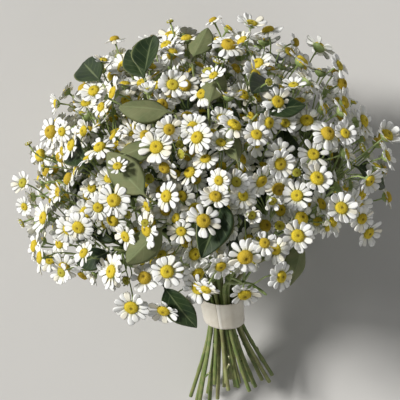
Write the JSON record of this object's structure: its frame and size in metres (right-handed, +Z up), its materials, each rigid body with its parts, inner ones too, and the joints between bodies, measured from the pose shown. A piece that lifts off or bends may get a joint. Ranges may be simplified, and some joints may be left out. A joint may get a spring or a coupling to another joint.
{
  "type": "bunch of daisies",
  "caption": "Hand-tied round posy of small white daisies with yellow centres and broad green leaves, splayed cut stems bound with an ivory satin ribbon, lying on its side.",
  "frame": {"origin": "middle of the bounding box's underside, on the surface that the bunch lies on", "axes": "+Z up from the surface, +Y along the bunch from the cut stems to the flowers, +X to the side"},
  "size_m": [0.3072, 0.3366, 0.2562],
  "materials": {
    "petal_white": "satin",
    "disc_yellow": "matte",
    "stem_green": "satin",
    "foliage_bark": "satin",
    "leaf_green": "satin",
    "ribbon_satin": "satin",
    "twine_fibre": "matte"
  },
  "bodies": {
    "root": {"daisy_spray_01": "petal_white", "daisy_spray_02": "petal_white", "daisy_spray_03": "petal_white", "daisy_spray_04": "petal_white", "daisy_spray_05": "petal_white", "daisy_spray_06": "petal_white", "daisy_spray_07": "petal_white", "daisy_spray_08": "petal_white", "daisy_spray_09": "petal_white", "daisy_spray_10": "petal_white", "daisy_spray_11": "petal_white", "daisy_spray_12": "petal_white", "daisy_spray_13": "petal_white", "daisy_spray_14": "petal_white", "daisy_spray_15": "petal_white", "daisy_spray_16": "petal_white", "daisy_spray_17": "petal_white", "daisy_spray_18": "petal_white", "daisy_spray_19": "petal_white", "daisy_spray_20": "petal_white", "foliage_stem_01": "foliage_bark", "foliage_stem_02": "foliage_bark", "foliage_stem_03": "foliage_bark", "foliage_stem_04": "foliage_bark", "foliage_stem_05": "foliage_bark", "foliage_stem_06": "foliage_bark", "leaf_01": "leaf_green", "leaf_02": "leaf_green", "leaf_03": "leaf_green", "leaf_04": "leaf_green", "leaf_05": "leaf_green", "leaf_06": "leaf_green", "leaf_07": "leaf_green", "leaf_08": "leaf_green", "leaf_09": "leaf_green", "leaf_10": "leaf_green", "leaf_11": "leaf_green", "leaf_12": "leaf_green", "leaf_13": "leaf_green", "leaf_14": "leaf_green", "leaf_15": "leaf_green", "leaf_16": "leaf_green", "leaf_17": "leaf_green", "leaf_18": "leaf_green", "leaf_19": "leaf_green", "leaf_20": "leaf_green", "leaf_21": "leaf_green", "leaf_22": "leaf_green", "leaf_23": "leaf_green", "leaf_24": "leaf_green", "ribbon_wrap": "ribbon_satin", "binding_twine": "twine_fibre"}
  },
  "joints": []
}
